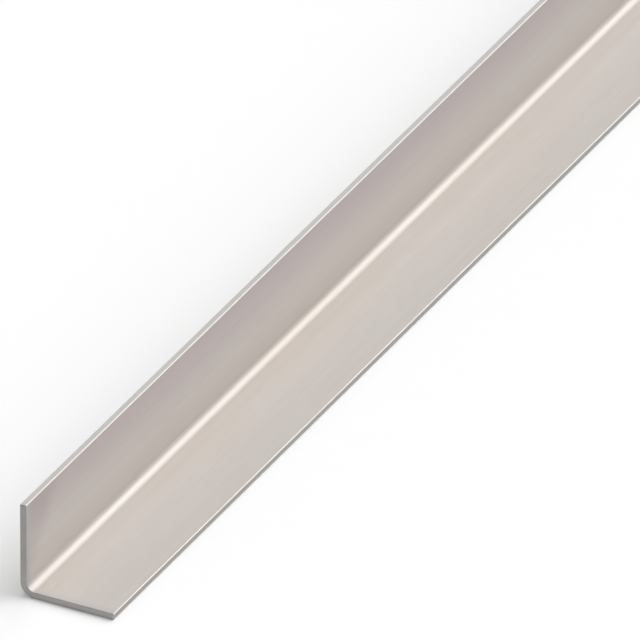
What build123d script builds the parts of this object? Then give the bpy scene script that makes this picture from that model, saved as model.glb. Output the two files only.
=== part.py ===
"""Cold-formed equal angle section: one strip of steel folded lengthwise into an L.

The angle lies on one leg, the foot, with the other leg, the upright, standing along its back.
+Y runs along the stock, +X points out along the foot and +Z up the upright. The origin is at
mid-length, under the middle of the overall width, on the plane that the foot rests on.
All sizes are in millimetres.
"""

import os

from build123d import *

# Strip
stock_length = 1000.0
wall = 2.0  # the same in both legs and round the fold

# Legs, measured over the outside of the section from the heel
foot_width = 30.0
upright_height = 30.0

# Fold
inside_fold_radius = 2.5
outside_fold_radius = inside_fold_radius + wall

# Slit edges and sawn ends are dressed, which rounds their corners lightly
edge_round = 0.3

# Corners of the section's outside line
upright_tip = (-foot_width / 2, upright_height)
heel = (-foot_width / 2, 0)
foot_tip = (foot_width / 2, 0)

with BuildPart() as angle_section:
    # The outside face of the strip, folded at the heel, is thickened inwards by the wall
    with BuildSketch(Plane.XZ):
        with BuildLine():
            outside = FilletPolyline(upright_tip, heel, foot_tip, radius=outside_fold_radius)
            offset(outside, amount=wall, side=Side.LEFT)
        make_face()
    extrude(amount=stock_length / 2, both=True)

    # The tangent lines of the fold stay; every sharp edge is rounded
    long_edges = angle_section.edges().filter_by(Axis.Y)
    slit_edges = long_edges.group_by(Axis.Z)[-1] + long_edges.group_by(Axis.X)[-1]
    by_length = angle_section.edges().group_by(Axis.Y)
    sawn_edges = by_length[0] + by_length[-1]
    fillet(slit_edges + sawn_edges, radius=edge_round)

angle_section.part.label = "angle_section"
os.makedirs("parts", exist_ok=True)
export_step(angle_section.part, "parts/angle_section.step")
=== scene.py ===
"""Models a cold-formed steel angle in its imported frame, gives each of its surfaces its own finish
and sets it on a plain white stage.

+Y runs along the stock, +X points out along the foot and +Z up the upright. The foot rests on the
floor at z = 0. All sizes are in metres.
"""

import math

import bmesh
import bpy
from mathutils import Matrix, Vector


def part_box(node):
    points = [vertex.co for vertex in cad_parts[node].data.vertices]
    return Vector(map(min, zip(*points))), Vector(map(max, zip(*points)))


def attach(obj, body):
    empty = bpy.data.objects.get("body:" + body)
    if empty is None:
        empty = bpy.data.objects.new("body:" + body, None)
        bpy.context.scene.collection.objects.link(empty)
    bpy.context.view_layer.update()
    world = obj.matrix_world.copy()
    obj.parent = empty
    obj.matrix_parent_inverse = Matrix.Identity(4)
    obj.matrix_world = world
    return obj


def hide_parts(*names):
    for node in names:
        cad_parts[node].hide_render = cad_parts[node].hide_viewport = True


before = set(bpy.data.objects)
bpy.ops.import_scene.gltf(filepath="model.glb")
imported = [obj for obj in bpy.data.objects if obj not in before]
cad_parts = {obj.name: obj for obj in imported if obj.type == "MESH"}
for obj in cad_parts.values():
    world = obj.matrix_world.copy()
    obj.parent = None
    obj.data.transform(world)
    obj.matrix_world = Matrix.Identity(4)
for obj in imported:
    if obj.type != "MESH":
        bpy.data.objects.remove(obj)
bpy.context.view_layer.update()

bl_info = {
    "name": "Cold-formed steel angle",
    "version": (1, 0, 0),
    "blender": (4, 5, 0),
    "location": "3D View > Sidebar > Angle",
    "description": "Models a folded steel angle with rolled, slit and sawn finishes, and its stage",
    "category": "Add Mesh",
}

NODE = "angle_section"
LOW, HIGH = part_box(NODE)
MM = 0.001

# A unit vector with this much of an axis in it runs along that axis
ALONG = 0.999

# Grains of the patterns on the steel: their lengths across, along and up the section
SKIN_GRAIN = (0.1 * MM, 10 * MM, 0.1 * MM)
SKIN_STREAKS = (1.6 * MM, 150 * MM, 1.6 * MM)
SKIN_CLOUDS = (14 * MM, 60 * MM, 14 * MM)
FOLD_RIPPLES = (4 * MM, 0.5 * MM, 4 * MM)
EDGE_WEAR = (0.6 * MM, 5 * MM, 0.6 * MM)
BLADE_LINES = (0.5 * MM, 0.15 * MM, 0.5 * MM)
SAW_MARKS = (6 * MM, 6 * MM, 0.25 * MM)

# Depths of the reliefs that the patterns make
SKIN_DEPTH = 0.008 * MM
WEAR_DEPTH = 0.004 * MM
BLADE_DEPTH = 0.012 * MM
SAW_DEPTH = 0.03 * MM

FLOOR_SIDE = 30.0
FLOOR_GAP = 0.01 * MM

# The sky's white fades out between these heights, of which 0 is the horizon and 1 is overhead
HORIZON_LOW, HORIZON_HIGH = 0.02, 0.06


class AngleSizes(bpy.types.PropertyGroup):
    """The sizes of the section that its overall box doesn't give."""

    wall: bpy.props.FloatProperty(
        name="Wall",
        description="Thickness of the strip, the same in both legs and round the fold",
        default=2.0 * MM,
        min=0.5 * MM,
        unit="LENGTH",
        precision=4,
    )
    fold_radius: bpy.props.FloatProperty(
        name="Inside fold radius",
        description="Radius of the fold on the inside of the angle",
        default=2.5 * MM,
        min=0.5 * MM,
        unit="LENGTH",
        precision=4,
    )
    edge_round: bpy.props.FloatProperty(
        name="Edge round",
        description="Radius on the corners of the slit edges and the sawn ends",
        default=0.3 * MM,
        min=0.05 * MM,
        unit="LENGTH",
        precision=4,
    )
    fold_steps: bpy.props.IntProperty(
        name="Fold steps",
        description="Faces round the quarter turn of the fold",
        default=24,
        min=4,
        max=64,
    )
    edge_steps: bpy.props.IntProperty(
        name="Edge steps",
        description="Faces round each edge round",
        default=5,
        min=1,
        max=12,
    )
    length_steps: bpy.props.IntProperty(
        name="Length steps",
        description="Faces along the stock",
        default=40,
        min=1,
        max=200,
    )


class AngleFinish(bpy.types.PropertyGroup):
    """The colours and the roughness of the steel's surfaces."""

    rolled_colour: bpy.props.FloatVectorProperty(
        name="Rolled skin",
        description="Colour of the rolled faces beside the fold",
        subtype="COLOR",
        default=(0.613, 0.582, 0.556),
        min=0.0,
        max=1.0,
    )
    # Painted shade: the upright's upper part is darker, with a pinkish cast
    top_shade_colour: bpy.props.FloatVectorProperty(
        name="Painted top shade",
        description="Colour that the rolled skin turns to at the upright's slit edge",
        subtype="COLOR",
        default=(0.527, 0.473, 0.475),
        min=0.0,
        max=1.0,
    )
    straw_colour: bpy.props.FloatVectorProperty(
        name="Straw tint",
        description="Colour of the faint patches that annealing leaves on the rolled faces",
        subtype="COLOR",
        default=(0.603, 0.560, 0.522),
        min=0.0,
        max=1.0,
    )
    # Painted highlight: a neutral grey strip beside each sawn end, where a wider end round would
    # catch the light
    end_strip_colour: bpy.props.FloatVectorProperty(
        name="Grey end strips",
        description="Colour of the narrow strips beside the sawn ends",
        subtype="COLOR",
        default=(0.55, 0.54, 0.545),
        min=0.0,
        max=1.0,
    )
    # Worn edges: rubbed bright, and painted a little lighter as a painted highlight of the lamp
    wear_and_highlight_colour: bpy.props.FloatVectorProperty(
        name="Worn and highlighted edges",
        description="Colour of the rounded edges, which are rubbed bright",
        subtype="COLOR",
        default=(0.64, 0.615, 0.59),
        min=0.0,
        max=1.0,
    )
    slit_colour: bpy.props.FloatVectorProperty(
        name="Clean slit edge",
        description="Colour of the upright's slit edge",
        subtype="COLOR",
        default=(0.62, 0.60, 0.58),
        min=0.0,
        max=1.0,
    )
    # Painted shade: the foot's slit edge is a darker copy of the upright's, as it faces the side and
    # not up
    shaded_slit_colour: bpy.props.FloatVectorProperty(
        name="Shaded slit edge",
        description="Colour of the foot's slit edge",
        subtype="COLOR",
        default=(0.42, 0.41, 0.40),
        min=0.0,
        max=1.0,
    )
    # Sawn ends: dull from the saw, and painted darker as shade
    sawn_and_shade_colour: bpy.props.FloatVectorProperty(
        name="Sawn ends",
        description="Colour of the sawn ends",
        subtype="COLOR",
        default=(0.38, 0.375, 0.365),
        min=0.0,
        max=1.0,
    )
    roughness: bpy.props.FloatProperty(
        name="Roughness",
        description="Roughness of the rolled skin",
        subtype="FACTOR",
        default=0.6,
        min=0.05,
        max=1.0,
    )


class StageLook(bpy.types.PropertyGroup):
    """The light, the floor and the view."""

    sky_strength: bpy.props.FloatProperty(
        name="Sky", description="Strength of the even white sky", default=0.50, min=0.0
    )
    horizon_strength: bpy.props.FloatProperty(
        name="Horizon",
        description="Strength of the sky from the horizon down, where 1 is white",
        default=1.0,
        min=0.0,
    )
    lamp_strength: bpy.props.FloatProperty(
        name="Lamp", description="Strength of the soft lamp behind the angle", default=2.05, min=0.0
    )
    lamp_spread: bpy.props.FloatProperty(
        name="Lamp spread",
        description="How wide the soft lamp looks from the angle",
        subtype="ANGLE",
        default=math.radians(68),
        min=math.radians(1),
        max=math.radians(120),
    )
    lamp_along: bpy.props.FloatProperty(
        name="Lamp along",
        description="How far the lamp leans to the far end from square to the stock",
        subtype="ANGLE",
        default=math.radians(36),
    )
    lamp_tilt: bpy.props.FloatProperty(
        name="Lamp tilt",
        description="How far the lamp is turned up from the foot's side",
        subtype="ANGLE",
        default=math.radians(66),
    )
    floor_colour: bpy.props.FloatVectorProperty(
        name="Floor",
        description="Colour of the floor",
        subtype="COLOR",
        default=(0.98, 0.98, 0.98),
        min=0.0,
        max=1.0,
    )
    floor_lift: bpy.props.FloatProperty(
        name="Floor lift",
        description="What the lit floor lacks to look white. It lights nothing but reflections",
        default=0.04,
        min=0.0,
    )
    azimuth: bpy.props.FloatProperty(
        name="Azimuth",
        description="How far the view turns from looking along the stock",
        subtype="ANGLE",
        default=math.radians(27.5691),
    )
    elevation: bpy.props.FloatProperty(
        name="Elevation",
        description="How far above the floor the view comes from",
        subtype="ANGLE",
        default=math.radians(30.6591),
    )
    target: bpy.props.FloatVectorProperty(
        name="Target",
        description="Point on the floor in the middle of the view",
        subtype="TRANSLATION",
        unit="LENGTH",
        precision=4,
        default=(-10.4315 * MM, -324.8616 * MM, 0.0),
    )
    distance: bpy.props.FloatProperty(
        name="Distance",
        description="Distance of the camera from its target",
        unit="LENGTH",
        default=8.71068,
    )
    lens: bpy.props.FloatProperty(
        name="Lens",
        description="Focal length, long enough to keep parallel edges parallel",
        subtype="DISTANCE_CAMERA",
        default=1700.0,
    )


# ---------------------------------------------------------------- shader maths


class Value:
    """A number that varies over a surface. Arithmetic on it adds Math nodes."""

    def __init__(self, finish, socket):
        self.finish, self.socket = finish, socket

    def maths(self, operation, first, second):
        return self.finish.node("ShaderNodeMath", {"operation": operation}, {0: first, 1: second})

    def __add__(self, other):
        return self.maths("ADD", self, other)

    __radd__ = __add__

    def __sub__(self, other):
        return self.maths("SUBTRACT", self, other)

    def __rsub__(self, other):
        return self.maths("SUBTRACT", other, self)

    def __mul__(self, other):
        return self.maths("MULTIPLY", self, other)

    __rmul__ = __mul__

    def __pow__(self, other):
        return self.maths("POWER", self, other)

    def unsigned(self):
        return self.maths("ABSOLUTE", self, 0)

    def rise(self, start, end):
        """Goes smoothly from 0 at start to 1 at end."""
        return self.finish.node(
            "ShaderNodeMapRange",
            {"interpolation_type": "SMOOTHSTEP"},
            {"Value": self, "From Min": start, "From Max": end},
        )

    def band(self, middle, width):
        """Is 1 on the middle two fifths of a band and goes smoothly to 0 at its sides."""
        return 1 - (self - middle).unsigned().rise(0.2 * width, 0.5 * width)


class Finish:
    """The node tree of a material or a world, and the coordinates that it reads."""

    def __init__(self, owner, coordinates="Object"):
        owner.use_nodes = True
        self.owner, self.tree = owner, owner.node_tree
        self.tree.nodes.clear()
        self.place = self.node("ShaderNodeTexCoord", {}, {}, coordinates)
        self.x, self.y, self.z = (
            self.node("ShaderNodeSeparateXYZ", {}, {"Vector": self.place}, axis) for axis in "XYZ"
        )

    def node(self, kind, settings, values, output=0):
        """Adds a node, makes its settings, then sets or links its sockets. Gives one output."""
        made = self.tree.nodes.new(kind)
        for name, setting in settings.items():
            setattr(made, name, setting)
        for socket, value in values.items():
            if isinstance(value, Value):
                self.tree.links.new(value.socket, made.inputs[socket])
            else:
                made.inputs[socket].default_value = value
        return Value(self, made.outputs[output]) if made.outputs else None

    def noise(self, grain, turn=0.0, detail=2.0):
        """Noise from 0 to 1 about 0.5, with grains of the given size, turned about the stock."""
        stretched = self.node(
            "ShaderNodeMapping",
            {"vector_type": "TEXTURE"},
            {"Vector": self.place, "Rotation": (0, turn, 0), "Scale": grain},
        )
        return self.node(
            "ShaderNodeTexNoise",
            {"noise_dimensions": "3D"},
            {"Vector": stretched, "Scale": 1.0, "Detail": detail},
            "Fac",
        )

    def mix(self, share, first, second):
        """A colour between two others."""
        return self.node("ShaderNodeMix", {"data_type": "RGBA"}, {0: share, 6: first, 7: second}, 2)

    def scaled(self, colour, tone):
        """A colour made lighter or darker. A tone of 1 leaves it as it is."""
        return self.node("ShaderNodeVectorMath", {"operation": "SCALE"}, {0: colour, "Scale": tone})

    def surface(self, shader, output="ShaderNodeOutputMaterial"):
        self.node(output, {}, {"Surface": shader})
        return self.owner

    def metal(self, colour, roughness, relief, depth):
        """A bare metal surface with a relief of the given depth."""
        normal = self.node("ShaderNodeBump", {}, {"Distance": depth, "Height": relief}, "Normal")
        return self.surface(
            self.node(
                "ShaderNodeBsdfPrincipled",
                {},
                {"Base Color": colour, "Metallic": 1.0, "Roughness": roughness, "Normal": normal},
            )
        )


def opaque(colour):
    return (*colour, 1.0)


def new_finish(name):
    return Finish(bpy.data.materials.new(name))


def fold_axis(sizes):
    """Where the centre of the fold's rounds lies in the section."""
    outside_radius = sizes.fold_radius + sizes.wall
    return Vector((LOW.x + outside_radius, 0, LOW.z + outside_radius))


def skin_colour(finish, look, across, up, clouds, from_end):
    """The colour of the rolled skin, given how far a place is from the fold's axis and the end.

    A straw tint lies in patches, mostly on the foot beside the fold. The upright is painted darker
    towards its slit edge, as shade, with a pinkish cast. A narrow grey strip beside each sawn end is
    a painted highlight.
    """
    beside_fold = 1 - across.rise(2.5 * MM, 16.5 * MM)
    on_upright = up.rise(-2.5 * MM, 3.5 * MM)
    straw = (0.35 * beside_fold + 0.6 * clouds.rise(0.4, 0.65)) * (1 - 0.95 * on_upright)
    # Painted shade: the rolled skin darkens towards the upright's slit edge, with a pinkish cast
    tint = finish.z.rise(12 * MM, HIGH.z)
    # Painted highlight: a neutral grey strip beside each sawn end, where a wider end round would
    # catch the light
    rubbed = 0.6 * (1 - from_end.rise(1.5 * MM, 3.5 * MM))

    colour = finish.mix(straw, opaque(look.rolled_colour), opaque(look.straw_colour))
    colour = finish.mix(tint, colour, opaque(look.top_shade_colour))
    return finish.mix(rubbed, colour, opaque(look.end_strip_colour))


def rolled_skin(look, sizes):
    """Cold-rolled strip: fine grain and faint streaks along the stock, under slow clouds.

    The punch has burnished the inside of the fold. A strip of the foot beside the fold is painted
    lighter, as painted light against the upright's shade. The outside is stretched into faint
    ripples, and the die has left a fine bright line along the outside of each leg. The upright's top
    corner at each end is painted darker, as painted shade.
    """
    finish = new_finish("rolled_skin")
    grain = finish.noise(SKIN_GRAIN, detail=3.0)
    streaks = finish.noise(SKIN_STREAKS)
    clouds = finish.noise(SKIN_CLOUDS)

    axis = fold_axis(sizes)
    across, up = finish.x - axis.x, finish.z - axis.z
    radius = (across * across + up * up) ** 0.5
    in_fold = (1 - across.rise(-2 * MM, 0)) * (1 - up.rise(-2 * MM, 0))
    outside = radius.rise(sizes.fold_radius + sizes.wall / 4, sizes.fold_radius + sizes.wall)
    burnish = in_fold * (1 - outside)
    ripples = in_fold * outside * finish.noise(FOLD_RIPPLES)

    foot_underside = 1 - finish.z.rise(LOW.z, LOW.z + sizes.wall)
    upright_back = 1 - finish.x.rise(LOW.x, LOW.x + sizes.wall)
    foot_line, upright_line = (value.band(4 * MM, 0.3 * MM) for value in (across, up))
    die_lines = foot_underside * foot_line + upright_back * upright_line
    # Painted light: a strip of the foot beside the fold is lightened where the upright shades it
    painted_light_strip = (1 - foot_underside) * across.band(1.2 * MM, 5 * MM)

    # Painted shade in the upright's top corner at each end: the patch reaches 13 mm down the end for
    # every 10 mm along the slit edge
    from_end = HIGH.y - finish.y.unsigned()
    corner = (finish.z - 1.3 * from_end).rise(-2 * MM, 12 * MM)

    colour = skin_colour(finish, look, across, up, clouds, from_end)
    tone = (
        0.827
        + 0.22 * grain
        + 0.07 * streaks
        + 0.06 * clouds
        + 0.06 * die_lines
        + 0.04 * painted_light_strip
        # painted shade in the upright's top corners
        - 0.11 * corner
    )
    roughness = (
        look.roughness
        - 0.09
        + 0.12 * grain
        + 0.06 * clouds
        - 0.12 * die_lines
        - 0.03 * burnish
    )
    relief = grain + streaks + 6 * ripples
    return finish.metal(finish.scaled(colour, tone), roughness, relief, SKIN_DEPTH)


def wear_and_highlight_edge(look):
    """Rounded edges rubbed bright by handling, more in some places than in others, and painted a
    little lighter as a painted highlight.
    """
    finish = new_finish("wear_and_highlight_edge")
    wear = finish.noise(EDGE_WEAR, detail=3.0)
    colour = finish.scaled(look.wear_and_highlight_colour, 0.94 + 0.12 * wear)
    return finish.metal(colour, look.roughness + 0.04 - 0.12 * wear, wear, WEAR_DEPTH)


def slit_edge(name, look, colour, axis):
    """Slit edge: about a third of it burnished by the blade, the rest torn, with fine cross lines.

    The axis is the one across the edge, and the blade came in from the angle's outside.
    """
    finish = new_finish(name)
    from_outside = getattr(finish, axis) - getattr(LOW, axis)
    torn = from_outside.rise(0.5 * MM, 0.9 * MM)
    lines = finish.noise(BLADE_LINES, detail=3.0)
    tone = 0.96 + 0.1 * lines + torn * (0.12 * lines - 0.08)
    roughness = look.roughness - 0.12 + 0.08 * torn + 0.1 * lines
    relief = lines * (0.3 + 0.7 * torn)
    return finish.metal(finish.scaled(colour, tone), roughness, relief, BLADE_DEPTH)


def sawn_end(look):
    """Bandsaw marks across the section, a little out of square with it. The end is dulled by the saw
    and painted darker as shade, most of all up the upright.
    """
    finish = new_finish("sawn_end")
    marks = finish.noise(SAW_MARKS, turn=math.radians(20), detail=3.0)
    # Painted shade: the end darkens up the upright
    tone = 0.855 + 0.5 * marks - 0.2 * finish.z.rise(LOW.z, 14 * MM)
    return finish.metal(
        finish.scaled(look.sawn_and_shade_colour, tone), 0.45 + 0.2 * marks, marks, SAW_DEPTH
    )


# ---------------------------------------------------------------- modelling


def deselect_all():
    bpy.ops.object.select_all(action="DESELECT")


def pick(thing, kind, wanted):
    """In edit mode, selects the faces or edges that are wanted, and nothing else."""
    bpy.ops.mesh.select_mode(type=kind)
    bpy.ops.mesh.select_all(action="DESELECT")
    shape = bmesh.from_edit_mesh(thing.data)
    for item in shape.faces if kind == "FACE" else shape.edges:
        item.select_set(wanted(item))
    shape.select_flush_mode()
    bmesh.update_edit_mesh(thing.data)


def runs_along(edge):
    """Whether an edge runs along the stock."""
    first, second = (corner.co for corner in edge.verts)
    return abs((second - first).normalized().y) > ALONG


def folded_strip(sizes):
    """The bare section: a flat strip for the foot, spun round the fold and drawn up the upright."""
    axis = fold_axis(sizes)
    foot = Vector((HIGH.x - axis.x, HIGH.y - LOW.y, sizes.wall))
    deselect_all()
    bpy.ops.mesh.primitive_cube_add(
        size=1,
        location=(axis.x + foot.x / 2, (LOW.y + HIGH.y) / 2, LOW.z + sizes.wall / 2),
        scale=foot,
    )
    strip = bpy.context.active_object
    strip.name = strip.data.name = "folded_angle"
    bpy.ops.object.transform_apply(location=True, rotation=True, scale=True)

    bpy.ops.object.mode_set(mode="EDIT")
    pick(strip, "EDGE", runs_along)
    bpy.ops.mesh.subdivide(number_cuts=sizes.length_steps - 1)
    pick(strip, "FACE", lambda face: face.normal.x < -ALONG)
    bpy.ops.mesh.spin(
        steps=sizes.fold_steps, angle=math.radians(90), center=axis, axis=(0, -1, 0)
    )
    bpy.ops.mesh.extrude_region_move(
        TRANSFORM_OT_translate={"value": (0, 0, HIGH.z - axis.z)}
    )
    bpy.ops.mesh.select_all(action="SELECT")
    bpy.ops.mesh.remove_doubles(threshold=0.001 * MM)
    bpy.ops.mesh.normals_make_consistent(inside=False)

    bpy.ops.mesh.select_mode(type="EDGE")
    bpy.ops.mesh.select_all(action="DESELECT")
    bpy.ops.mesh.edges_select_sharp(sharpness=math.radians(60))
    bpy.ops.mesh.bevel(
        offset=sizes.edge_round, segments=sizes.edge_steps, affect="EDGES", clamp_overlap=True
    )
    bpy.ops.object.mode_set(mode="OBJECT")
    return strip


def lay_finishes(piece, sizes, look):
    """Gives each face the finish of the surface that it belongs to."""
    finishes = (
        rolled_skin(look, sizes),
        wear_and_highlight_edge(look),
        slit_edge("clean_slit_edge", look, look.slit_colour, "x"),
        slit_edge("shaded_slit_edge", look, look.shaded_slit_colour, "z"),
        sawn_end(look),
    )
    skin, worn, clean_slit, shaded_slit, sawn = range(len(finishes))
    for material in finishes:
        piece.data.materials.append(material)
    for face in piece.data.polygons:
        place, normal = face.center, face.normal
        past = (place.x - HIGH.x, abs(place.y) - HIGH.y, place.z - HIGH.z)
        if max(past) < -sizes.edge_round:
            face.material_index = skin
        elif abs(place.y) > HIGH.y - sizes.edge_round:
            face.material_index = sawn
        elif normal.z > ALONG:
            face.material_index = clean_slit
        # The foot's slit edge gets the painted shaded copy of the slit edge
        elif normal.x > ALONG:
            face.material_index = shaded_slit
        else:
            face.material_index = worn


def smooth(piece):
    """Smooth shading, with the flat faces kept flat up to the rounds beside them."""
    bpy.ops.object.shade_smooth()
    weighting = piece.modifiers.new("flat_faces", "WEIGHTED_NORMAL")
    weighting.weight = 100
    bpy.ops.object.modifier_apply(modifier=weighting.name)


class ANGLE_OT_section(bpy.types.Operator):
    """Model the folded angle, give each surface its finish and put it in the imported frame"""

    bl_idname = "angle.section"
    bl_label = "Folded angle"

    def execute(self, context):
        sizes, look = context.scene.angle_sizes, context.scene.angle_finish
        piece = folded_strip(sizes)
        lay_finishes(piece, sizes, look)
        smooth(piece)
        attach(piece, "root")
        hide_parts(NODE)
        return {"FINISHED"}


# ---------------------------------------------------------------- stage


def add_floor(look):
    """A matt floor, which looks pure white outside the shadow."""
    deselect_all()
    bpy.ops.mesh.primitive_plane_add(size=FLOOR_SIDE, location=(0, 0, -FLOOR_GAP))
    floor = bpy.context.active_object
    floor.name = floor.data.name = "floor"
    paint = new_finish("floor_paint")
    matt = paint.node("ShaderNodeBsdfDiffuse", {}, {"Color": opaque(look.floor_colour)})
    camera, glossy, transmission = (
        paint.node("ShaderNodeLightPath", {}, {}, f"Is {kind} Ray")
        for kind in ("Camera", "Glossy", "Transmission")
    )
    lift = look.floor_lift * (camera + glossy + transmission)
    glow = paint.node("ShaderNodeEmission", {}, {"Color": opaque((1, 1, 1)), "Strength": lift})
    floor.data.materials.append(
        paint.surface(paint.node("ShaderNodeAddShader", {}, {0: matt, 1: glow}))
    )


def add_sky(look):
    """An even sky, which turns to the floor's white just above the horizon."""
    sky = Finish(bpy.data.worlds.new("sky"), "Generated")
    height = sky.z.rise(HORIZON_LOW, HORIZON_HIGH)
    strength = look.horizon_strength + (look.sky_strength - look.horizon_strength) * height
    background = sky.node(
        "ShaderNodeBackground", {}, {"Color": opaque((1, 1, 1)), "Strength": strength}
    )
    bpy.context.scene.world = sky.surface(background, "ShaderNodeOutputWorld")


def add_lamp(look):
    """One large soft lamp, far away behind the angle and over its foot."""
    toward = Vector(
        (
            math.cos(look.lamp_along) * math.cos(look.lamp_tilt),
            math.sin(look.lamp_along),
            math.cos(look.lamp_along) * math.sin(look.lamp_tilt),
        )
    )
    bpy.ops.object.light_add(
        type="SUN", location=toward, rotation=toward.to_track_quat("Z", "Y").to_euler()
    )
    lamp = bpy.context.active_object
    lamp.name = lamp.data.name = "soft_lamp"
    lamp.data.energy = look.lamp_strength
    lamp.data.angle = look.lamp_spread


def add_camera(look):
    back = Vector(
        (
            math.sin(look.azimuth) * math.cos(look.elevation),
            -math.cos(look.azimuth) * math.cos(look.elevation),
            math.sin(look.elevation),
        )
    )
    bpy.ops.object.camera_add(
        location=Vector(look.target) + look.distance * back,
        rotation=back.to_track_quat("Z", "Y").to_euler(),
    )
    camera = bpy.context.active_object
    camera.data.lens = look.lens
    camera.data.sensor_width = 36
    camera.data.clip_start, camera.data.clip_end = 0.1, 100
    bpy.context.scene.camera = camera


class ANGLE_OT_stage(bpy.types.Operator):
    """Set up the white floor, the sky, the soft lamp and the camera"""

    bl_idname = "angle.stage"
    bl_label = "Stage"

    def execute(self, context):
        look = context.scene.angle_stage
        add_floor(look)
        add_sky(look)
        add_lamp(look)
        add_camera(look)
        context.scene.view_settings.view_transform = "Standard"
        return {"FINISHED"}


class ANGLE_PT_panel(bpy.types.Panel):
    """Sizes, finish and stage of the angle, with the operators that make them"""

    bl_label = "Steel angle"
    bl_space_type = "VIEW_3D"
    bl_region_type = "UI"
    bl_category = "Angle"

    def draw(self, context):
        for title, group, operator in (
            ("Section", context.scene.angle_sizes, "angle.section"),
            ("Finish", context.scene.angle_finish, None),
            ("Stage", context.scene.angle_stage, "angle.stage"),
        ):
            box = self.layout.box()
            box.label(text=title)
            for name in group.__annotations__:
                box.prop(group, name)
            if operator:
                box.operator(operator)


CLASSES = (AngleSizes, AngleFinish, StageLook, ANGLE_OT_section, ANGLE_OT_stage, ANGLE_PT_panel)
GROUPS = {"angle_sizes": AngleSizes, "angle_finish": AngleFinish, "angle_stage": StageLook}


def register():
    for each in CLASSES:
        bpy.utils.register_class(each)
    for name, group in GROUPS.items():
        setattr(bpy.types.Scene, name, bpy.props.PointerProperty(type=group))


def unregister():
    for name in GROUPS:
        delattr(bpy.types.Scene, name)
    for each in reversed(CLASSES):
        bpy.utils.unregister_class(each)


def main():
    register()
    bpy.ops.angle.section()
    bpy.ops.angle.stage()


if __name__ == "__main__":
    main()
